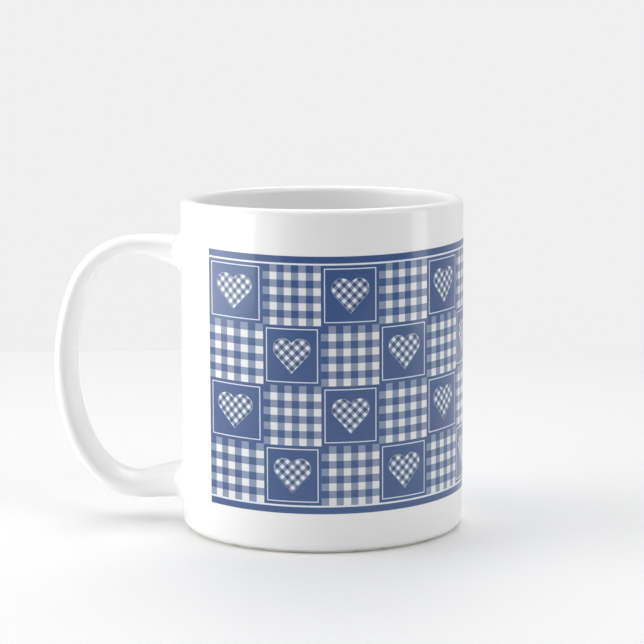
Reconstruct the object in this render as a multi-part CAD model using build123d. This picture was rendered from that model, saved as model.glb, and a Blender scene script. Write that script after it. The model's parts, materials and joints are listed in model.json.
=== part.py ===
from build123d import *

import os
from math import degrees, hypot

# A straight-sided ceramic mug of about 325 ml with a strap handle and a printed band.
# Millimetres. The origin is on the mug's axis, on the plane that the foot stands on.
# +Z is up and out of the mouth, and the handle points along -X.

# --- Driving dimensions: the glazed mug ---
OUTER_R = 41.0
INNER_R = 36.8
HEIGHT = 96.0
FLOOR_TOP = 6.5
GLAZE = 0.3

# --- Foot ring, left bare so that the mug can stand in the kiln ---
FOOT_OUTER_R = 39.5
FOOT_INNER_R = 35.1
FOOT_BEVEL_TOP = 2.0
RECESS_R = 34.1
RECESS_DEPTH = 1.5
GLAZE_LINE = 1.0
RECESS_GLAZE_LINE = 0.7

# --- Rounding of the section ---
LIP_ROUND = 2.0
FLOOR_ROUND = 5.7
FOOT_ROUND = 0.5
SHOULDER_ROUND = 2.5
RECESS_ROUND = 0.6

# --- Printed band: eleven columns of patches round the wall, with a plain gap at the handle ---
# The column at each end is wider, and the band's middle is not quite opposite the handle.
PATCH = 16.4
END_PATCH = 19.1
MIDDLE_COLUMNS = 9
BAND_START = -94.1
BAND_BOTTOM = 11.6
BAND_TOP = 83.3
BAND_THICKNESS = 0.1

# --- Handle: radius from the mug's axis, height, thickness and width of the strap ---
# The strap flares where it meets the wall, and is thicker in its lower half.
HANDLE_STATIONS = [
    (37.5, 79.1, 11.0, 19.0),
    (42.5, 80.2, 9.3, 16.4),
    (47.5, 81.2, 7.5, 14.6),
    (54.0, 81.9, 6.1, 14.0),
    (61.5, 80.4, 5.9, 14.0),
    (68.5, 75.5, 5.8, 14.0),
    (73.6, 66.0, 5.9, 14.0),
    (76.4, 53.5, 6.2, 14.0),
    (76.6, 41.0, 6.4, 14.0),
    (74.3, 28.5, 6.6, 14.0),
    (69.6, 18.5, 6.8, 14.0),
    (62.7, 12.1, 7.2, 14.0),
    (55.0, 10.1, 7.8, 14.1),
    (48.0, 11.05, 9.4, 14.8),
    (42.5, 11.85, 10.3, 16.6),
    (37.5, 12.6, 11.4, 19.0),
]

# --- Slip joints: the collars of slip that lute the handle's ends to the wall ---
# Radius from the mug's axis, and how far the collar stands out there above and below the
# strap, and at its two sides, where the round wall lies further back.
COLLAR_STEPS = [
    (37.5, 4.2, 3.0),
    (39.8, 2.7, 1.7),
    (41.0, 1.9, 0.9),
    (41.9, 1.0, 0.5),
    (42.9, 0.5, 0.35),
    (43.8, 0.3, 0.25),
]

LIP_CENTRE_R = (OUTER_R + INNER_R) / 2
BELOW_FOOT = -1.0
ABOVE_LIP = HEIGHT + 1.0


def half_section(inset):
    """The mug's half section in X and Z, inset from the glazed surface except underfoot."""
    points = [
        (0, RECESS_DEPTH + inset),
        (RECESS_R + inset, RECESS_DEPTH + inset),
        (FOOT_INNER_R + inset, 0),
        (FOOT_OUTER_R - inset, 0),
        (OUTER_R - inset, FOOT_BEVEL_TOP),
        (OUTER_R - inset, HEIGHT - inset),
        (INNER_R + inset, HEIGHT - inset),
        (INNER_R + inset, FLOOR_TOP - inset),
        (0, FLOOR_TOP - inset),
    ]
    corners = [
        RECESS_ROUND,
        FOOT_ROUND,
        FOOT_ROUND,
        SHOULDER_ROUND,
        LIP_ROUND - inset,
        LIP_ROUND - inset,
        FLOOR_ROUND + inset,
    ]
    outline = FilletPolyline(*points, radius=corners) + Line(points[-1], points[0])
    return Plane.XZ * make_face(outline)


def section_window(r_low, r_high, z_low, z_high):
    """A rectangle of the half section, in the same plane."""
    centre = Pos((r_low + r_high) / 2, (z_low + z_high) / 2)
    return Plane.XZ * centre * Rectangle(r_high - r_low, z_high - z_low)


def upright_cylinder(radius):
    """A solid cylinder on the mug's axis that runs past the foot and the lip."""
    bottom = Pos(0, 0, BELOW_FOOT)
    return bottom * Cylinder(
        radius,
        ABOVE_LIP - BELOW_FOOT,
        align=(Align.CENTER, Align.CENTER, Align.MIN),
    )


def strap(inset):
    """The handle's strap: a loft of ovals square to its centreline, inset from the glaze."""
    centres = [Vector(-r, 0, z) for r, z, thickness, width in HANDLE_STATIONS]
    centreline = Spline(*centres)
    sections = []
    for centre, (r, z, thickness, width) in zip(centres, HANDLE_STATIONS):
        along = centreline.tangent_at(centreline.param_at_point(centre))
        plane = Plane(origin=centre, x_dir=(0, 1, 0), z_dir=along)
        sections.append(plane * Ellipse(width / 2 - inset, thickness / 2 - inset))
    return loft(sections)


def strap_at(stations, r):
    """Height, upright thickness and width of the strap at radius r, near one of its ends."""
    for near, far in zip(stations, stations[1:]):
        if near[0] <= r < far[0]:
            share = (r - near[0]) / (far[0] - near[0])
            slope = (far[1] - near[1]) / (far[0] - near[0])
            z, thickness, width = (a + share * (b - a) for a, b in zip(near[1:], far[1:]))
            return z, thickness * hypot(1, slope), width
    raise ValueError(f"no strap at radius {r}")


def collar(stations, inset):
    """The slip round one end of the handle: a concave fillet from the wall to the strap."""
    sections = []
    for r, rise, side in COLLAR_STEPS:
        z, thickness, width = strap_at(stations, r)
        plane = Plane(origin=(-r, 0, z), x_dir=(0, 1, 0), z_dir=(-1, 0, 0))
        half_width = width / 2 + side - inset
        half_height = thickness / 2 + rise - inset
        sections.append(plane * Ellipse(half_width, half_height))
    return loft(sections)


def printed_band():
    """The transfer: a thin band on the glaze, open behind the handle."""
    length = 2 * END_PATCH + MIDDLE_COLUMNS * PATCH
    band = section_window(OUTER_R, OUTER_R + BAND_THICKNESS, BAND_BOTTOM, BAND_TOP)
    turned = revolve(band, Axis.Z, degrees(length / OUTER_R))
    return Rot(0, 0, degrees(BAND_START / OUTER_R)) * turned


def build():
    """Every piece of the mug by node name."""
    clay_section = half_section(GLAZE)
    coat_section = half_section(0) - clay_section
    outer_window = section_window(LIP_CENTRE_R, OUTER_R + 1, GLAZE_LINE, ABOVE_LIP)
    inner_window = section_window(0, LIP_CENTRE_R, FLOOR_TOP - 2 * GLAZE, ABOVE_LIP)
    base_window = section_window(0, FOOT_INNER_R, RECESS_GLAZE_LINE, RECESS_DEPTH + 1)
    outer_coat = revolve(coat_section & outer_window, Axis.Z)

    clay_wall = upright_cylinder(OUTER_R - GLAZE)
    glazed_wall = upright_cylinder(OUTER_R)
    upper_end = HANDLE_STATIONS
    lower_end = HANDLE_STATIONS[::-1]
    handle = strap(GLAZE) - clay_wall
    upper_slip = collar(upper_end, GLAZE) - clay_wall - handle
    lower_slip = collar(lower_end, GLAZE) - clay_wall - handle
    handle_coat = strap(0) - glazed_wall
    handle_coat += collar(upper_end, 0) - glazed_wall
    handle_coat += collar(lower_end, 0) - glazed_wall

    return {
        "mug_body": revolve(clay_section, Axis.Z),
        "handle": handle,
        "upper_slip_joint": upper_slip,
        "lower_slip_joint": lower_slip,
        "outer_glaze": outer_coat - handle - upper_slip - lower_slip,
        "inner_glaze": revolve(coat_section & inner_window, Axis.Z),
        "base_glaze": revolve(coat_section & base_window, Axis.Z),
        "handle_glaze": handle_coat - handle - upper_slip - lower_slip,
        "printed_band": printed_band(),
    }


os.makedirs("parts", exist_ok=True)
for name, piece in build().items():
    export_step(piece, f"parts/{name}.step")
    print(f"{name}: {len(piece.solids())} solid, {piece.volume:.1f} mm3")
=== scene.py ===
import json
from math import asin, atan2, cos, hypot, pi, radians, sin, tan

import bmesh
import bpy
import numpy as np
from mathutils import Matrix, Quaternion, Vector

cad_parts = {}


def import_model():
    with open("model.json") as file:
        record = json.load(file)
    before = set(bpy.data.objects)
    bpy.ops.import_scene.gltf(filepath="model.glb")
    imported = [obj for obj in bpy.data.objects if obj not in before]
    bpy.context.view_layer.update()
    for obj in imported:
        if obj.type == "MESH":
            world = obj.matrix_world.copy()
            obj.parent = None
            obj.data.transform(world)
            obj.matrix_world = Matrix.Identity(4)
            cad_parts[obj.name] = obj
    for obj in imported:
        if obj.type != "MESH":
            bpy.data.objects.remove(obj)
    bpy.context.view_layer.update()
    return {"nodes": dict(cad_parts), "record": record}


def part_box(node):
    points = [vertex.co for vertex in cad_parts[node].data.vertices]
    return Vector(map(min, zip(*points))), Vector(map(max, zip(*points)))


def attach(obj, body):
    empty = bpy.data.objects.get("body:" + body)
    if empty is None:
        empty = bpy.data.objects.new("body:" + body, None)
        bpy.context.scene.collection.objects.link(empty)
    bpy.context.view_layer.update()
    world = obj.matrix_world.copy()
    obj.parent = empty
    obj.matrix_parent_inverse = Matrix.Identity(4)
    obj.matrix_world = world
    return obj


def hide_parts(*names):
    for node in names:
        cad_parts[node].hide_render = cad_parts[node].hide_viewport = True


# The looks of a white glazed mug with a printed band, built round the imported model.
# Lengths are in millimetres until MM turns them into metres. The origin is on the mug's axis,
# on the plane that the foot stands on. +Z is up, and the handle points along -X.

MM = 0.001
# Anything smaller than this counts as zero.
TINY = 1e-6

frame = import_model()


def reach_of(node, end, axis):
    """One coordinate of a CAD node's lowest (0) or highest (1) corner, in millimetres."""
    return round(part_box(node)[end][axis] / MM, 2)


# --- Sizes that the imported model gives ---
OUTER_R = reach_of("outer_glaze", 1, 0)
HEIGHT = reach_of("outer_glaze", 1, 2)
GLAZE = round(OUTER_R - reach_of("mug_body", 1, 0), 2)
FLOOR_TOP = round(reach_of("inner_glaze", 0, 2) + GLAZE, 2)
GLAZE_LINE = reach_of("outer_glaze", 0, 2)
RECESS_GLAZE_LINE = reach_of("base_glaze", 0, 2)
BAND_BOTTOM = reach_of("printed_band", 0, 2)
BAND_TOP = reach_of("printed_band", 1, 2)
MOUTH = next(m for m in frame["record"]["mounts"] if m["name"] == "mouth")
INNER_R = MOUTH["dims"]["r_mm"]
LIP_CENTRE_R = (OUTER_R + INNER_R) / 2

# --- The rest of the section ---
FOOT_OUTER_R = 39.5
FOOT_INNER_R = 35.1
FOOT_BEVEL_TOP = 2.0
RECESS_R = 34.1
RECESS_DEPTH = 1.5
LIP_ROUND = 2.0
FLOOR_ROUND = 5.7
FOOT_ROUND = 0.5
SHOULDER_ROUND = 2.5
RECESS_ROUND = 0.6
LATHE_SEGMENTS = 256
ARC_STEP = radians(7)
SHARP_ANGLE = radians(38)

# --- Handle: radius from the mug's axis, height, thickness and width of the strap ---
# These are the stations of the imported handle.
HANDLE_STATIONS = [
    (37.5, 79.1, 11.0, 19.0),
    (42.5, 80.2, 9.3, 16.4),
    (47.5, 81.2, 7.5, 14.6),
    (54.0, 81.9, 6.1, 14.0),
    (61.5, 80.4, 5.9, 14.0),
    (68.5, 75.5, 5.8, 14.0),
    (73.6, 66.0, 5.9, 14.0),
    (76.4, 53.5, 6.2, 14.0),
    (76.6, 41.0, 6.4, 14.0),
    (74.3, 28.5, 6.6, 14.0),
    (69.6, 18.5, 6.8, 14.0),
    (62.7, 12.1, 7.2, 14.0),
    (55.0, 10.1, 7.8, 14.1),
    (48.0, 11.05, 9.4, 14.8),
    (42.5, 11.85, 10.3, 16.6),
    (37.5, 12.6, 11.4, 19.0),
]
# The strap's section is a little fuller than an ellipse, whose power is 2.
SECTION_POWER = 2.2
STRAP_RINGS = 170
STRAP_SIDES = 80
STRAP_STEP = 0.01
# The glaze turns from the strap to the wall in a concave fillet, wider under the lower root.
FILLET_RINGS = 14
FILLET_HEIGHT = 2.7
FILLET_REACH = 2.6
FILLET_LOWER_REACH = 0.5
# How far along the strap a root is searched for its line on the wall, and in how many steps.
ROOT_DEPTH = 14.0
ROOT_STEPS = 300
# The handle's coat is this share of the glaze's thickness, which keeps it off the clay.
HANDLE_COAT_SHARE = 0.9
# The coat's edge at the wall: how far past the fillet, and its heights over the wall.
SKIRT_REACH = 0.3
SKIRT_TOP = 0.006
SKIRT_BOTTOM = -0.25
# The slip under the coat's fillet, as a share of its size, and how deep it is bedded.
SLIP_SHARE = 0.55
SLIP_SINK = 0.25

# --- Printed band: a column of wider patches at each end, and the rest between them ---
PATCH = 16.4
END_PATCH = 19.1
MIDDLE_COLUMNS = 9
PATCH_ROWS = 4
# Where the print starts, round the wall from +X, and its border and white line.
BAND_START = -94.1
BORDER = 1.9
BORDER_LINE = 0.5
GRID_TOP = BAND_TOP - BORDER - BORDER_LINE
PATCH_HEIGHT = (BAND_TOP - BAND_BOTTOM - 2 * (BORDER + BORDER_LINE)) / PATCH_ROWS
# The print's two faces lie this far outside and inside the glaze's surface.
TRANSFER = 0.05
COLUMN_STEPS_ACROSS = 24
COLUMN_STEPS_UP = 18
# A face that looks this nearly straight out is shaded as part of the round wall.
STRAIGHT_OUT = 0.9
# The transfer was laid a little unevenly. It is lowest at one angle, a little under its level
# place, and rises on both sides for a quarter turn at most. The last two are half of the rise
# at its highest, along the band's top and along its bottom.
SAG_TURN = radians(-76)
SAG_LIMIT = pi / 2
SAG_DEPTH = 0.1
SAG_TOP = 0.69
SAG_BOTTOM = 0.30


# ---------------------------------------------------------------- meshes


def new_piece(name, points, faces, replaced, material):
    """A mesh piece of the object from points in millimetres, with sharp edges kept sharp."""
    mesh = bpy.data.meshes.new(name)
    mesh.from_pydata([tuple(p) for p in np.asarray(points) * MM], [], faces)
    fix = bmesh.new()
    fix.from_mesh(mesh)
    bmesh.ops.recalc_face_normals(fix, faces=fix.faces)
    fix.to_mesh(mesh)
    fix.free()
    mesh.shade_smooth()
    mesh.set_sharp_from_angle(angle=SHARP_ANGLE)
    mesh.materials.append(material)
    piece = bpy.data.objects.new(name, mesh)
    bpy.context.scene.collection.objects.link(piece)
    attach(piece, "root")
    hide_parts(replaced)
    return piece


def rounded(corners):
    """Points along a path of (r, z, fillet radius) corners, with each corner's arc."""
    path = [np.array(c[:2], float) for c in corners]
    points = [path[0]]
    for before, here, after, (r, z, radius) in zip(path, path[1:], path[2:], corners[1:]):
        into = (here - before) / np.linalg.norm(here - before)
        away = (after - here) / np.linalg.norm(after - here)
        turn = atan2(into[0] * away[1] - into[1] * away[0], into @ away)
        if radius == 0 or abs(turn) < TINY:
            points.append(here)
            continue
        start = here - into * radius * tan(abs(turn) / 2)
        side = np.array([-into[1], into[0]]) * (1 if turn > 0 else -1)
        steps = max(2, round(abs(turn) / ARC_STEP))
        for angle in np.linspace(0, abs(turn), steps + 1):
            points.append(start + radius * (sin(angle) * into + (1 - cos(angle)) * side))
    points.append(path[-1])
    return points


def lathe(name, profile, replaced, material):
    """A closed profile of (r, z) points turned about Z. A point on the axis is one vertex."""
    angles = np.linspace(0, 2 * pi, LATHE_SEGMENTS, endpoint=False)
    points, rings = [], []
    for r, z in profile:
        if r < TINY:
            rings.append([len(points)] * LATHE_SEGMENTS)
            points.append((0, 0, z))
        else:
            rings.append([len(points) + i for i in range(LATHE_SEGMENTS)])
            points.extend((r * cos(a), r * sin(a), z) for a in angles)
    faces = []
    for low, high in zip(rings, rings[1:] + rings[:1]):
        for i in range(LATHE_SEGMENTS):
            j = (i + 1) % LATHE_SEGMENTS
            corners = list(dict.fromkeys([low[i], low[j], high[j], high[i]]))
            if len(corners) > 2:
                faces.append(corners)
    new_piece(name, points, faces, replaced, material)


def outer_line(inset):
    """The outer wall from the glaze line over the foot to the middle of the lip."""
    share = GLAZE_LINE / FOOT_BEVEL_TOP
    glaze_line_r = FOOT_OUTER_R + share * (OUTER_R - FOOT_OUTER_R)
    return rounded([
        (glaze_line_r - inset, GLAZE_LINE, 0),
        (OUTER_R - inset, FOOT_BEVEL_TOP, SHOULDER_ROUND),
        (OUTER_R - inset, HEIGHT - inset, LIP_ROUND - inset),
        (LIP_CENTRE_R, HEIGHT - inset, 0),
    ])


def inner_line(inset):
    """The inner wall from the middle of the lip to the middle of the floor."""
    return rounded([
        (LIP_CENTRE_R, HEIGHT - inset, 0),
        (INNER_R + inset, HEIGHT - inset, LIP_ROUND - inset),
        (INNER_R + inset, FLOOR_TOP - inset, FLOOR_ROUND + inset),
        (0, FLOOR_TOP - inset, 0),
    ])


def base_line(inset):
    """The recess under the floor, from its middle to the glaze line inside the foot ring."""
    share = RECESS_GLAZE_LINE / RECESS_DEPTH
    glaze_line_r = FOOT_INNER_R + share * (RECESS_R - FOOT_INNER_R)
    return rounded([
        (0, RECESS_DEPTH + inset, 0),
        (RECESS_R + inset, RECESS_DEPTH + inset, RECESS_ROUND),
        (glaze_line_r + inset, RECESS_GLAZE_LINE, 0),
    ])


def foot_line(inset):
    """The bare foot ring between the two glaze lines."""
    inner_end = base_line(inset)[-1]
    outer_start = outer_line(inset)[0]
    return rounded([
        (*inner_end, 0),
        (FOOT_INNER_R + inset, 0, FOOT_ROUND),
        (FOOT_OUTER_R - inset, 0, FOOT_ROUND),
        (*outer_start, 0),
    ])


def coat(name, line, replaced, material):
    """A coat of glaze: the finished surface along a line, backed by the clay's."""
    lathe(name, line(0) + line(GLAZE)[::-1], replaced, material)


def clay_body(material):
    """The clay under the coats, whose foot ring shows."""
    profile = base_line(GLAZE)[:-1] + foot_line(GLAZE)[:-1]
    profile += outer_line(GLAZE)[:-1] + inner_line(GLAZE)
    lathe("mug_clay", profile, "mug_body", material)


def natural_cubic(knots, values):
    """A function of t that runs smoothly through the values at the knots."""
    spans = np.diff(knots)
    slopes = np.diff(values, axis=0) / spans[:, None]
    system = np.eye(len(knots))
    right = np.zeros_like(values)
    for i in range(1, len(knots) - 1):
        system[i, i - 1:i + 2] = spans[i - 1], 2 * (spans[i - 1] + spans[i]), spans[i]
        right[i] = 6 * (slopes[i] - slopes[i - 1])
    bends = np.linalg.solve(system, right)

    def at(t):
        i = np.clip(np.searchsorted(knots, t) - 1, 0, len(spans) - 1)
        span = spans[i][..., None]
        left = (knots[i + 1] - t)[..., None]
        done = (t - knots[i])[..., None]
        cubic = (bends[i] * left**3 + bends[i + 1] * done**3) / (6 * span)
        line = (values[i] / span - bends[i] * span / 6) * left
        return cubic + line + (values[i + 1] / span - bends[i + 1] * span / 6) * done

    return at


STATIONS = np.array(HANDLE_STATIONS)
STATION_GAPS = np.hypot(*np.diff(STATIONS[:, :2], axis=0).T)
STATION_T = np.concatenate([[0], np.cumsum(STATION_GAPS)])
strap_values = natural_cubic(STATION_T, STATIONS)


def strap_point(t, turn):
    """Points of the strap's surface at the distance t along it and the angle turn round it."""
    t, turn = np.broadcast_arrays(t, turn)
    r, z, thickness, width = np.moveaxis(strap_values(t), -1, 0)
    ahead = strap_values(t + STRAP_STEP) - strap_values(t - STRAP_STEP)
    along = np.stack([-ahead[..., 0], ahead[..., 1]], -1)
    along /= np.linalg.norm(along, axis=-1, keepdims=True)
    power = 2 / SECTION_POWER
    out = np.sign(np.cos(turn)) * np.abs(np.cos(turn)) ** power * thickness / 2
    across = np.sign(np.sin(turn)) * np.abs(np.sin(turn)) ** power * width / 2
    return np.stack([-r + along[..., 1] * out, across, z - along[..., 0] * out], -1)


def handle_root(t_inside, t_outside, turns):
    """Places rings round one end of the strap. Gives that function, the outward directions
    on the unrolled wall, and where each line of the strap crosses a height over the wall."""
    t = np.linspace(t_inside, t_outside, ROOT_STEPS)
    points = strap_point(t[:, None], turns[None, :])
    depth = np.hypot(points[..., 0], points[..., 1]) - OUTER_R
    girth = OUTER_R * np.arctan2(points[..., 1], -points[..., 0])
    height = points[..., 2]

    def at_depth(d, values):
        """The values on each line of the strap where it is at a height over the wall."""
        return np.array([np.interp(d, depth[:, j], values[:, j]) for j in range(len(turns))])

    outline = np.stack([at_depth(0, girth), at_depth(0, height)], -1)
    forward = np.roll(outline, -1, axis=0) - np.roll(outline, 1, axis=0)
    outward = np.stack([forward[:, 1], -forward[:, 0]], -1)
    outward *= np.sign(((outline - outline.mean(0)) * outward).sum(1).mean())
    outward /= np.linalg.norm(outward, axis=1, keepdims=True)

    def ring(d, step):
        """The ring at a height d over the wall, a step away from the strap's surface."""
        round_wall = (at_depth(d, girth) + step * outward[:, 0]) / OUTER_R
        up = at_depth(d, height) + step * outward[:, 1]
        radius = OUTER_R + d
        return np.stack([-radius * np.cos(round_wall), radius * np.sin(round_wall), up], -1)

    def leaves(d):
        """How far along the strap each of its lines is at a height over the wall."""
        return at_depth(d, np.broadcast_to(t[:, None], depth.shape))

    return ring, outward, leaves


def fillet_rings(ring, reach, height):
    """Rings of a concave fillet from the strap to the wall."""
    angles = np.linspace(0, pi / 2, FILLET_RINGS)
    return [ring(height * (1 - sin(a)), reach * (1 - cos(a))) for a in angles]


def ring_faces(rings, closed):
    """Faces between rings of points, with the last joined to the first if it is closed."""
    faces = []
    for k in range(rings if closed else rings - 1):
        for j in range(STRAP_SIDES):
            a = k * STRAP_SIDES + j
            b = k * STRAP_SIDES + (j + 1) % STRAP_SIDES
            up = ((k + 1) % rings - k) * STRAP_SIDES
            faces.append((a, b, b + up, a + up))
    return faces


STRAP_TURNS = np.linspace(0, 2 * pi, STRAP_SIDES, endpoint=False)
ROOTS = {
    "upper": (0, ROOT_DEPTH, FILLET_REACH),
    "lower": (STATION_T[-1], STATION_T[-1] - ROOT_DEPTH, FILLET_REACH + FILLET_LOWER_REACH),
}


def root_of(end):
    """One end's ring function, the reach of its fillet in each direction, and its start."""
    t_inside, t_outside, reach_below = ROOTS[end]
    ring, outward, leaves = handle_root(t_inside, t_outside, STRAP_TURNS)
    reach = FILLET_REACH + (reach_below - FILLET_REACH) * np.clip(-outward[:, 1], 0, 1)
    return ring, reach, leaves(FILLET_HEIGHT)


def handle_coat(material):
    """The glaze over the strap and both joints: an open tube given the coat's thickness."""
    ends = []
    for end in ROOTS:
        ring, reach, start = root_of(end)
        rings = fillet_rings(ring, reach, FILLET_HEIGHT)
        rings.append(ring(SKIRT_TOP, reach + SKIRT_REACH))
        rings.append(ring(SKIRT_BOTTOM, reach + SKIRT_REACH))
        ends.append((rings, start))
    (upper, start_t), (lower, end_t) = ends
    rings = upper[::-1]
    for share in np.linspace(0, 1, STRAP_RINGS)[1:-1]:
        rings.append(strap_point(start_t + share * (end_t - start_t), STRAP_TURNS))
    rings += lower
    faces = ring_faces(len(rings), closed=False)
    points = np.concatenate(rings)
    piece = new_piece("handle_glaze_coat", points, faces, "handle_glaze", material)
    shell = piece.modifiers.new("coat", "SOLIDIFY")
    shell.thickness = GLAZE * MM * HANDLE_COAT_SHARE
    shell.offset = -1


def slip_ring(end, material):
    """The slip in the corner between the strap and the wall, under the glaze."""
    ring, reach, start = root_of(end)
    rings = fillet_rings(ring, SLIP_SHARE * reach, SLIP_SHARE * FILLET_HEIGHT)
    rings.append(ring(-SLIP_SINK, SLIP_SHARE * reach))
    rings.append(ring(-SLIP_SINK, -SLIP_SINK))
    rings.append(ring(SLIP_SHARE * FILLET_HEIGHT, -SLIP_SINK))
    faces = ring_faces(len(rings), closed=True)
    node = f"{end}_slip_joint"
    new_piece(f"{end}_slip_ring", np.concatenate(rings), faces, node, material)


def column_edge(column):
    """How far round the wall from +X a column of patches starts."""
    middles = min(max(column - 1, 0), MIDDLE_COLUMNS)
    ends = min(column, 1) + max(column - 1 - MIDDLE_COLUMNS, 0)
    return BAND_START + ends * END_PATCH + middles * PATCH


def sag(angle, height):
    """How far above its level place the transfer lies, at an angle and a height."""
    share = (height - BAND_BOTTOM) / (BAND_TOP - BAND_BOTTOM)
    swell = SAG_BOTTOM + (SAG_TOP - SAG_BOTTOM) * share
    return swell * (1 - cos(2 * min(angle - SAG_TURN, SAG_LIMIT))) - SAG_DEPTH


def shade_as_wall(mesh):
    """Gives the faces that look straight out from the axis the round wall's normals."""
    normals = []
    for loop in mesh.loops:
        vertex = mesh.vertices[loop.vertex_index].co
        radial = Vector((vertex.x, vertex.y, 0)).normalized()
        flat = mesh.corner_normals[loop.index].vector
        normals.append(radial if flat.dot(radial) > STRAIGHT_OUT else flat)
    mesh.normals_split_custom_set(normals)


def print_panel(column, material):
    """One column of the printed patches: a thin closed shell bent round the wall."""
    across, up = COLUMN_STEPS_ACROSS, COLUMN_STEPS_UP
    left, right = column_edge(column), column_edge(column + 1)
    points, faces = [], []
    for radius in (OUTER_R + TRANSFER, OUTER_R - TRANSFER):
        for j in range(up + 1):
            z = BAND_BOTTOM + (BAND_TOP - BAND_BOTTOM) * j / up
            for i in range(across + 1):
                angle = (left + (right - left) * i / across) / OUTER_R
                points.append((radius * cos(angle), radius * sin(angle), z + sag(angle, z)))
    row = across + 1
    back = row * (up + 1)
    for j in range(up):
        for i in range(across):
            a = j * row + i
            faces.append((a, a + 1, a + row + 1, a + row))
            faces.append((back + a, back + a + row, back + a + row + 1, back + a + 1))
    rim = list(range(across))
    rim += [across + j * row for j in range(up)]
    rim += [up * row + i for i in range(across, 0, -1)]
    rim += [j * row for j in range(up, 0, -1)]
    for a, b in zip(rim, rim[1:] + rim[:1]):
        faces.append((b, a, back + a, back + b))
    name = f"printed_column_{column + 1:02d}"
    piece = new_piece(name, points, faces, "printed_band", material)
    shade_as_wall(piece.data)


# ---------------------------------------------------------------- materials

# Where a mix node keeps its colours, among its sockets of other types.
MIX_FIRST, MIX_SECOND, MIX_RESULT = 6, 7, 2
# Most of a noise's values lie between these two.
NOISE_RANGE = (0.3, 0.7)


class Shader:
    """A material's node tree, built by short calls that each give back an output."""

    def __init__(self, name):
        self.material = bpy.data.materials.new(name)
        self.material.use_nodes = True
        self.tree = self.material.node_tree
        self.surface = self.tree.nodes["Principled BSDF"]
        self.place = self.add("ShaderNodeTexCoord").outputs["Object"]

    def add(self, kind, inputs=None, **settings):
        """A new node with its settings, and its inputs set to constants or linked."""
        node = self.tree.nodes.new(kind)
        for key, value in settings.items():
            setattr(node, key, value)
        for key, value in (inputs or {}).items():
            self.feed(node.inputs[key], value)
        return node

    def feed(self, socket, value):
        """Links an output to a socket, or sets the socket's constant."""
        if isinstance(value, bpy.types.NodeSocket):
            self.tree.links.new(value, socket)
        else:
            socket.default_value = value

    def math(self, operation, *values):
        """The output of a math node."""
        inputs = dict(enumerate(values))
        return self.add("ShaderNodeMath", inputs, operation=operation).outputs[0]

    def span(self, value, low, high, to_low=0.0, to_high=1.0):
        """Value carried from low..high to to_low..to_high, and held at the ends."""
        inputs = {
            "Value": value,
            "From Min": low,
            "From Max": high,
            "To Min": to_low,
            "To Max": to_high,
        }
        return self.add("ShaderNodeMapRange", inputs).outputs["Result"]

    def noise(self, size_mm, detail, roughness=0.5):
        """Noise from 0 to 1 whose features are about the given size."""
        inputs = {
            "Vector": self.place,
            "Scale": 1 / (size_mm * MM),
            "Detail": detail,
            "Roughness": roughness,
        }
        return self.add("ShaderNodeTexNoise", inputs).outputs["Fac"]

    def blend(self, share, first, second):
        """One colour turned into another by share."""
        node = self.add("ShaderNodeMix", {"Factor": share}, data_type="RGBA")
        self.feed(node.inputs[MIX_FIRST], first)
        self.feed(node.inputs[MIX_SECOND], second)
        return node.outputs[MIX_RESULT]

    def bump(self, height, depth_mm, under=None):
        """A bump that is depth_mm deep where height goes from 0 to 1."""
        inputs = {"Height": height, "Distance": depth_mm * MM, "Strength": 1.0}
        if under is not None:
            inputs["Normal"] = under
        return self.add("ShaderNodeBump", inputs).outputs["Normal"]

    def finish(self, **sockets):
        """Sets or links the surface's own sockets, and gives the material back."""
        for key, value in sockets.items():
            self.feed(self.surface.inputs[key.replace("_", " ")], value)
        return self.material


# Glaze: the size and the depth of its slow waves and of its orange peel, and its clear gloss.
WAVE_SIZE = 26
WAVE_DEPTH = 0.07
PEEL_SIZE = 3.2
PEEL_DEPTH = 0.003
GLOSS_WEIGHT = 0.5
GLOSS_ROUGHNESS = 0.08
GLOSS_IOR = 1.5


def glaze_relief(shader):
    """The slow waves and the fine orange peel of a fired glaze, as a normal."""
    waves = shader.bump(shader.noise(WAVE_SIZE, detail=1.0), WAVE_DEPTH)
    return shader.bump(shader.noise(PEEL_SIZE, detail=1.0), PEEL_DEPTH, waves)


def glossy(shader, gloss_relief, **sockets):
    """A softly lit body under the clear, sharp gloss of the glaze, which has its own relief."""
    shader.finish(Coat_Weight=GLOSS_WEIGHT, Coat_Roughness=GLOSS_ROUGHNESS, Coat_IOR=GLOSS_IOR)
    return shader.finish(Coat_Normal=gloss_relief, **sockets)


CLOUD_WHITE = (0.929, 0.930, 0.932, 1)
GLAZE_WHITE = (0.940, 0.939, 0.936, 1)
CLOUD_SIZE = 18
CLOUD_EDGE = (0.35, 0.65)
GLAZE_PATCH = 9
GLAZE_ROUGHNESS = (0.29, 0.34)
# Pinholes: the glaze is divided into cells, and a share of them has one. The edge of a pinhole
# fades out between two distances from its middle, as shares of a cell.
PINHOLE_CELL = 9
PINHOLE_SHARE = 0.16
PINHOLE_EDGE = (0.010, 0.018)
PINHOLE_DEPTH = 0.03
PINHOLE_GREY = (0.62, 0.60, 0.56, 1)


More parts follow.
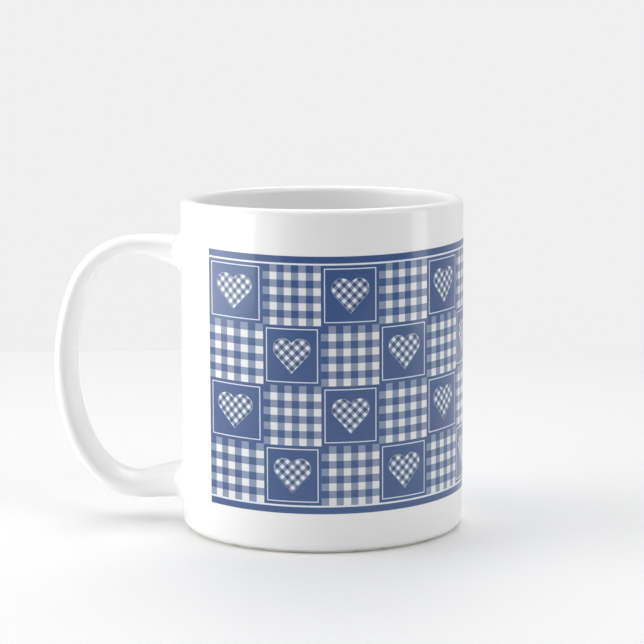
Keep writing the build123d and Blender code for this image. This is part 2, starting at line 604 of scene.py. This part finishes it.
def white_glaze():
    """A clear glossy glaze over white clay, with a few pinholes and faint clouding."""
    shader = Shader("white_glaze")
    clouds = shader.noise(CLOUD_SIZE, detail=3.0)
    colour = shader.blend(shader.span(clouds, *CLOUD_EDGE), CLOUD_WHITE, GLAZE_WHITE)
    scale = 1 / (PINHOLE_CELL * MM)
    cells = shader.add("ShaderNodeTexVoronoi", {"Vector": shader.place, "Scale": scale})
    pinhole = shader.span(cells.outputs["Distance"], *PINHOLE_EDGE, 1, 0)
    rare = shader.add("ShaderNodeSeparateColor", {"Color": cells.outputs["Color"]}).outputs[0]
    pinhole = shader.math("MULTIPLY", pinhole, shader.math("LESS_THAN", rare, PINHOLE_SHARE))
    colour = shader.blend(pinhole, colour, PINHOLE_GREY)
    glaze = glaze_relief(shader)
    relief = shader.bump(shader.math("SUBTRACT", 1.0, pinhole), PINHOLE_DEPTH, glaze)
    patches = shader.noise(GLAZE_PATCH, detail=2.0)
    roughness = shader.span(patches, *NOISE_RANGE, *GLAZE_ROUGHNESS)
    return glossy(shader, glaze, Base_Color=colour, Roughness=roughness, Normal=relief)


CLAY_DARK = (0.72, 0.69, 0.64, 1)
CLAY_LIGHT = (0.82, 0.80, 0.76, 1)
GRAIN_SIZE = 0.35
GRAIN_DEPTH = 0.05
RUB_GREY = (0.45, 0.44, 0.42, 1)
RUB_SIZE = 6
RUB_EDGE = (0.52, 0.68)
RUB_STRENGTH = 0.45
WORN_RANGE = (0.35, 0.65)
CLAY_ROUGHNESS = (0.85, 0.6)


def bare_clay():
    """Unglazed fired clay: matt and finely grained, with grey rub marks on the foot."""
    shader = Shader("bare_clay")
    grain = shader.noise(GRAIN_SIZE, detail=4.0, roughness=0.65)
    patches = shader.noise(RUB_SIZE, detail=3.0)
    colour = shader.blend(shader.span(grain, *NOISE_RANGE), CLAY_DARK, CLAY_LIGHT)
    rubbed = shader.math("MULTIPLY", shader.span(patches, *RUB_EDGE), RUB_STRENGTH)
    colour = shader.blend(rubbed, colour, RUB_GREY)
    relief = shader.bump(grain, GRAIN_DEPTH)
    roughness = shader.span(patches, *WORN_RANGE, *CLAY_ROUGHNESS)
    return shader.finish(Base_Color=colour, Roughness=roughness, Normal=relief)


SLIP_DARK = (0.76, 0.74, 0.70, 1)
SLIP_LIGHT = (0.86, 0.84, 0.80, 1)
SLIP_ROUGHNESS = 0.75
SLIP_GRAIN_SIZE = 0.6
SLIP_GRAIN_DEPTH = 0.03


def slip():
    """Dried slip under the glaze, a little smoother than the clay."""
    shader = Shader("slip")
    grain = shader.noise(SLIP_GRAIN_SIZE, detail=3.0)
    colour = shader.blend(grain, SLIP_DARK, SLIP_LIGHT)
    relief = shader.bump(grain, SLIP_GRAIN_DEPTH)
    return shader.finish(Base_Color=colour, Roughness=SLIP_ROUGHNESS, Normal=relief)


BLUE = (0.033, 0.088, 0.255, 1)
MID_BLUE = (0.235, 0.305, 0.45, 1)
HEART_BLUE = (0.038, 0.066, 0.19, 1)
HEART_MID_BLUE = (0.235, 0.295, 0.42, 1)
PRINT_WHITE = (0.84, 0.84, 0.86, 1)
HEART_WHITE = (0.79, 0.85, 0.93, 1)
LINE_WHITE = (0.82, 0.87, 0.96, 1)
FRAME_WHITE = (0.74, 0.82, 0.95, 1)
INK_EDGE = 0.04
INK_PATCH = 5
INK_ROUGHNESS = (0.285, 0.325)
# The specks of the ink: their size, the noise over which it thins out, how much of the white
# shows through where it is thinnest, and how high it stands.
INK_SPECK = 1.4
INK_RANGE = (0.25, 0.75)
INK_THIN = 0.012
INK_DEPTH = 0.002
# A gingham is made of pairs of stripes, a dark one and a light one, that cross each other.
GINGHAM_PAIRS = 4
FRAME_INSET = 1.0
FRAME_LINE = 0.28
# Hearts: the width of a pair of stripes, the lobes' radius and centres and the tip from the
# middle of the patch, how far the stripes are shifted round the wall, and the line round each
# heart with its strength.
HEART_PAIR = 2.05
LOBE_R = 2.82
LOBE_X = 2.42
LOBE_Z = 1.93
HEART_TIP = -4.95
HEART_LATTICE_SHIFT = -0.35
HEART_LINE = 0.14
HEART_LINE_INK = 0.35


def inside(shader, distance):
    """1 where a signed distance in millimetres is positive, with a soft ink edge."""
    return shader.span(distance, -INK_EDGE, INK_EDGE)


def gingham(shader, counts, pair):
    """The ink of a gingham from two running counts of its pairs of stripes: 0, 0.5 or 1 where
    none, one or both of the stripes are dark. A whole count is the middle of a light stripe."""
    inks = []
    for count in counts:
        wave = shader.math("PINGPONG", count, 0.5)
        depth = shader.math("MULTIPLY", shader.math("SUBTRACT", wave, 0.25), pair)
        inks.append(inside(shader, depth))
    return shader.math("MULTIPLY", shader.math("ADD", *inks), 0.5)


def level_height(shader, angle, height):
    """The height that a place on the transfer would have if it had been laid level."""
    math = shader.math
    swell = shader.span(height, BAND_BOTTOM, BAND_TOP, SAG_BOTTOM, SAG_TOP)
    turned = math("MINIMUM", math("SUBTRACT", angle, SAG_TURN), SAG_LIMIT)
    wave = math("COSINE", math("MULTIPLY", turned, 2.0))
    rise = math("MULTIPLY", swell, math("SUBTRACT", 1.0, wave))
    return math("ADD", math("SUBTRACT", height, rise), SAG_DEPTH)


def patch_count(shader, girth):
    """How many columns of patches there are from the band's start to a place round the wall."""
    edges = [column_edge(k) for k in (0, 1, MIDDLE_COLUMNS + 1, MIDDLE_COLUMNS + 2)]
    counts = []
    for start, end, patch in zip(edges, edges[1:], (END_PATCH, PATCH, END_PATCH)):
        held = shader.add("ShaderNodeClamp", {"Value": girth, "Min": start, "Max": end})
        past = shader.math("SUBTRACT", held.outputs[0], start)
        counts.append(shader.math("DIVIDE", past, patch))
    first, middle, last = counts
    return shader.math("ADD", shader.math("ADD", first, middle), last)


def heart_depth(shader, x_size, z):
    """How far inside a heart a place in a patch lies. A heart is two round lobes and the wedge
    between the lines that touch them from its tip, and x_size is the distance to its middle."""
    math = shader.math

    def side_of(point, normal):
        """How far the place lies on the inner side of a line through a point."""
        offset = point[0] * normal[0] + point[1] * normal[1]
        along = math("ADD", math("MULTIPLY", x_size, normal[0]), math("MULTIPLY", z, normal[1]))
        return math("SUBTRACT", along, offset)

    lobe_rise = LOBE_Z - HEART_TIP
    lean = atan2(lobe_rise, LOBE_X) - asin(LOBE_R / hypot(LOBE_X, lobe_rise))
    offset = {"X": math("SUBTRACT", x_size, LOBE_X), "Y": math("SUBTRACT", z, LOBE_Z)}
    from_lobe = shader.add("ShaderNodeCombineXYZ", offset).outputs[0]
    length = shader.add("ShaderNodeVectorMath", {0: from_lobe}, operation="LENGTH")
    lobe = math("SUBTRACT", LOBE_R, length.outputs["Value"])
    below_lobe = side_of((LOBE_X, LOBE_Z), (-cos(lean), -sin(lean)))
    wedge = math("MINIMUM", side_of((0, HEART_TIP), (-sin(lean), cos(lean))), below_lobe)
    wedge = math("MINIMUM", wedge, math("SUBTRACT", LOBE_Z, z))
    return math("MAXIMUM", lobe, wedge)


def diagonal_counts(shader, girth, height):
    """Running counts of the stripes of one gingham laid at 45 degrees over the whole print."""
    math = shader.math
    middle = (column_edge(2) + column_edge(3)) / 2 + HEART_LATTICE_SHIFT
    right = math("SUBTRACT", girth, middle)
    up = math("SUBTRACT", height, GRID_TOP - PATCH_HEIGHT / 2)
    diagonal = HEART_PAIR * 2 ** 0.5
    rising = math("DIVIDE", math("ADD", right, up), diagonal)
    falling = math("DIVIDE", math("SUBTRACT", right, up), diagonal)
    return rising, falling


def ink_colour(shader, ink, white, middle, full):
    """White, half tone and full tone at an ink of 0, 0.5 and 1."""
    light = shader.blend(shader.span(ink, 0.0, 0.5), white, middle)
    return shader.blend(shader.span(ink, 0.5, 1.0), light, full)


def printed_transfer():
    """The transfer's pattern, drawn from the distance round the wall and the height."""
    shader = Shader("printed_transfer")
    math = shader.math
    axes = shader.add("ShaderNodeSeparateXYZ", {"Vector": shader.place}).outputs
    angle = math("ARCTAN2", axes["Y"], axes["X"])
    girth = math("MULTIPLY", angle, OUTER_R)
    height = level_height(shader, angle, math("DIVIDE", axes["Z"], MM))

    # Patches are counted from the left as the print is read, and from the top.
    across = patch_count(shader, girth)
    down = math("DIVIDE", math("SUBTRACT", GRID_TOP, height), PATCH_HEIGHT)
    column, row = math("FLOOR", across), math("FLOOR", down)
    across, down = math("FRACT", across), math("FRACT", down)
    odd = math("FLOORED_MODULO", math("ADD", column, row), 2.0)
    is_heart = math("LESS_THAN", odd, 0.5)

    # The checked patches start with a dark stripe, a quarter of a pair past a light one's middle.
    pairs = [math("MULTIPLY", share, GINGHAM_PAIRS) for share in (across, down)]
    counts = [math("ADD", count, 0.25) for count in pairs]
    checks = gingham(shader, counts, PATCH / GINGHAM_PAIRS)
    checked = ink_colour(shader, checks, PRINT_WHITE, MID_BLUE, BLUE)

    # Inside a blue patch, x runs to the right of its middle and z above it.
    x = math("MULTIPLY", math("SUBTRACT", across, 0.5), PATCH)
    z = math("MULTIPLY", math("SUBTRACT", 0.5, down), PATCH_HEIGHT)
    x_size, z_size = math("ABSOLUTE", x), math("ABSOLUTE", z)
    to_side = math("SUBTRACT", PATCH / 2, x_size)
    to_top = math("SUBTRACT", PATCH_HEIGHT / 2, z_size)
    off_line = math("SUBTRACT", math("MINIMUM", to_side, to_top), FRAME_INSET)
    off_line = math("ABSOLUTE", off_line)
    frame_line = inside(shader, math("SUBTRACT", FRAME_LINE / 2, off_line))

    # The hearts are cut from the diagonal gingham.
    depth = heart_depth(shader, x_size, z)
    heart = inside(shader, depth)
    outline = inside(shader, math("SUBTRACT", HEART_LINE / 2, math("ABSOLUTE", depth)))
    checks = gingham(shader, diagonal_counts(shader, girth, height), HEART_PAIR)
    patch = shader.blend(frame_line, BLUE, FRAME_WHITE)
    heart_colour = ink_colour(shader, checks, HEART_WHITE, HEART_MID_BLUE, HEART_BLUE)
    patch = shader.blend(heart, patch, heart_colour)
    patch = shader.blend(math("MULTIPLY", outline, HEART_LINE_INK), patch, FRAME_WHITE)
    colour = shader.blend(is_heart, checked, patch)

    # Outside the patches a white line and a blue border run along the top and the bottom.
    from_middle = math("ABSOLUTE", math("SUBTRACT", height, (BAND_TOP + BAND_BOTTOM) / 2))
    half_grid = PATCH_HEIGHT * PATCH_ROWS / 2
    in_margin = inside(shader, math("SUBTRACT", from_middle, half_grid))
    in_border = inside(shader, math("SUBTRACT", from_middle, half_grid + BORDER_LINE))
    colour = shader.blend(in_margin, colour, LINE_WHITE)
    colour = shader.blend(in_border, colour, BLUE)

    # Ink lies a little unevenly, and each speck of it stands slightly out of the glaze.
    density = shader.noise(INK_SPECK, detail=4.0, roughness=0.6)
    bare = shader.span(density, *INK_RANGE, 0.0, INK_THIN)
    colour = shader.blend(bare, colour, PRINT_WHITE)
    glaze = glaze_relief(shader)
    relief = shader.bump(density, INK_DEPTH, glaze)
    patches = shader.noise(INK_PATCH, detail=2.0)
    roughness = shader.span(patches, *NOISE_RANGE, *INK_ROUGHNESS)
    return glossy(shader, glaze, Base_Color=colour, Roughness=roughness, Normal=relief)


PAPER_DARK = (0.93, 0.93, 0.93, 1)
PAPER_LIGHT = (0.95, 0.95, 0.95, 1)
PAPER_ROUGHNESS = 0.55
TOOTH_SIZE = 1.2
TOOTH_DEPTH = 0.02


def floor_paper():
    """A pale matt sheet with a very fine tooth."""
    shader = Shader("floor_paper")
    tooth = shader.noise(TOOTH_SIZE, detail=3.0)
    colour = shader.blend(tooth, PAPER_DARK, PAPER_LIGHT)
    relief = shader.bump(tooth, TOOTH_DEPTH)
    return shader.finish(Base_Color=colour, Roughness=PAPER_ROUGHNESS, Normal=relief)


# ---------------------------------------------------------------- the mug


def clad(node, material):
    """Gives a CAD node its material."""
    mesh = frame["nodes"][node].data
    mesh.materials.clear()
    mesh.materials.append(material)


glaze, clay, joint_slip = white_glaze(), bare_clay(), slip()
coat("outer_glaze_coat", outer_line, "outer_glaze", glaze)
coat("inner_glaze_coat", inner_line, "inner_glaze", glaze)
coat("base_glaze_coat", base_line, "base_glaze", glaze)
clay_body(clay)
handle_coat(glaze)
transfer = printed_transfer()
for column in range(MIDDLE_COLUMNS + 2):
    print_panel(column, transfer)
for end in ROOTS:
    slip_ring(end, joint_slip)
clad("handle", clay)


# ---------------------------------------------------------------- stage, light and camera

CAMERA_TURN = radians(8.5)
CAMERA_DISTANCE = 664.0
CAMERA_HEIGHT = 154.5
AIM_HEIGHT = 59.4
CAMERA_ROLL = radians(-0.25)
LENS = 128.6
SENSOR = 36.0
CLIP_METRES = (0.01, 20)
TABLE_BACK = 328.0
TABLE_FRONT = 450.0
TABLE_SIDE = 450.0
# The room's brightness: the wall as the camera sees it, and the light that comes from behind
# the mug and from the camera's side. The last two are how far a direction points away from
# the camera, from -1 to 1, where that light starts to rise and where it is full.
WALL_BRIGHTNESS = 0.87
ROOM_BACK = 0.7
ROOM_FRONT = 0.1
RISE_START = -0.1
RISE_END = 0.7


def around(azimuth, distance, height):
    """A point in metres at an angle round the mug from the camera's side, towards +X."""
    turn = CAMERA_TURN + azimuth
    return Vector((sin(turn) * distance, -cos(turn) * distance, height)) * MM


def floor():
    """The floor, whose back edge is the horizon behind the mug."""
    corners = [(-TABLE_SIDE, -TABLE_FRONT), (TABLE_SIDE, -TABLE_FRONT)]
    corners += [(TABLE_SIDE, TABLE_BACK), (-TABLE_SIDE, TABLE_BACK)]
    points = []
    for right, back in corners:
        x = right * cos(CAMERA_TURN) - back * sin(CAMERA_TURN)
        y = right * sin(CAMERA_TURN) + back * cos(CAMERA_TURN)
        points.append((x * MM, y * MM, 0))
    mesh = bpy.data.meshes.new("floor")
    mesh.from_pydata(points, [], [(0, 1, 2, 3)])
    mesh.materials.append(floor_paper())
    plane = bpy.data.objects.new("floor", mesh)
    bpy.context.scene.collection.objects.link(plane)


def softbox(name, azimuth, height, distance, size, watts, aim_height):
    """A soft rectangular light that faces the mug's axis at a height."""
    light = bpy.data.lights.new(name, "AREA")
    light.shape = "RECTANGLE"
    light.size, light.size_y = size[0] * MM, size[1] * MM
    light.energy = watts
    lamp = bpy.data.objects.new(name, light)
    lamp.location = around(radians(azimuth), distance, height)
    facing = Vector((0, 0, aim_height * MM)) - lamp.location
    lamp.rotation_euler = facing.to_track_quat("-Z", "Y").to_euler()
    bpy.context.scene.collection.objects.link(lamp)


# Upright boxes stand round the table in a low and a high row and face the mug's axis. Each has
# its angle round the mug from the camera in degrees, its height, its width and its watts.
UPRIGHT_DISTANCE = 900.0
UPRIGHT_TALL = 500
LOW, HIGH = 150.0, 650.0
UPRIGHTS = {
    "low_left": (-77, LOW, 780, 4.6),
    "low_left_front": (-42, LOW, 317, 0.6),
    "low_right": (84, LOW, 250, 0.9),
    "high_left": (-86, HIGH, 1040, 1.6),
    "high_right": (68, HIGH, 655, 1.8),
}
# Square panels hang above the table and lean in towards the mug: an angle and watts.
PANEL_HEIGHT = 950.0
PANEL_DISTANCE = 750.0
PANEL_SIZE = (700, 700)
PANELS = {
    "left_panel": (-90, 1.9),
    "right_front_panel": (45, 2.1),
    "back_panel": (180, 2.3),
}
# One more panel hangs right above the mug and faces down.
CEILING_HEIGHT = 1100.0
CEILING_WATTS = 2.9


def world():
    """A pale room whose wall is bright behind the mug and dim on the camera's side."""
    room = bpy.data.worlds.new("room")
    room.use_nodes = True
    tree = room.node_tree
    background = tree.nodes["Background"]
    background.inputs["Color"].default_value = (1, 1, 1, 1)
    direction = tree.nodes.new("ShaderNodeTexCoord").outputs["Generated"]
    behind = tree.nodes.new("ShaderNodeVectorMath")
    behind.operation = "DOT_PRODUCT"
    behind.inputs[1].default_value = (-sin(CAMERA_TURN), cos(CAMERA_TURN), 0)
    tree.links.new(direction, behind.inputs[0])
    light = tree.nodes.new("ShaderNodeMapRange")
    light.inputs["From Min"].default_value = RISE_START
    light.inputs["From Max"].default_value = RISE_END
    light.inputs["To Min"].default_value = ROOM_FRONT
    light.inputs["To Max"].default_value = ROOM_BACK
    tree.links.new(behind.outputs["Value"], light.inputs["Value"])
    seen = tree.nodes.new("ShaderNodeLightPath").outputs["Is Camera Ray"]
    strength = tree.nodes.new("ShaderNodeMapRange")
    strength.inputs["To Max"].default_value = WALL_BRIGHTNESS
    tree.links.new(seen, strength.inputs["Value"])
    tree.links.new(light.outputs["Result"], strength.inputs["To Min"])
    tree.links.new(strength.outputs["Result"], background.inputs["Strength"])
    bpy.context.scene.world = room


def camera():
    """The camera, which stands before the mug's printed side and looks slightly down."""
    lens = bpy.data.cameras.new("camera")
    lens.lens = LENS
    lens.sensor_width = SENSOR
    lens.clip_start, lens.clip_end = CLIP_METRES
    eye = bpy.data.objects.new("camera", lens)
    eye.location = around(0, CAMERA_DISTANCE, CAMERA_HEIGHT)
    facing = Vector((0, 0, AIM_HEIGHT * MM)) - eye.location
    level = facing.to_track_quat("-Z", "Y")
    eye.rotation_euler = (level @ Quaternion((0, 0, 1), CAMERA_ROLL)).to_euler()
    bpy.context.scene.collection.objects.link(eye)
    bpy.context.scene.camera = eye


floor()
world()
for name, (azimuth, height, wide, watts) in UPRIGHTS.items():
    softbox(name, azimuth, height, UPRIGHT_DISTANCE, (wide, UPRIGHT_TALL), watts, height)
for name, (azimuth, watts) in PANELS.items():
    softbox(name, azimuth, PANEL_HEIGHT, PANEL_DISTANCE, PANEL_SIZE, watts, HEIGHT / 2)
softbox(
    "ceiling_panel",
    azimuth=0,
    height=CEILING_HEIGHT,
    distance=0,
    size=PANEL_SIZE,
    watts=CEILING_WATTS,
    aim_height=0,
)
camera()
bpy.context.scene.view_settings.view_transform = "Standard"
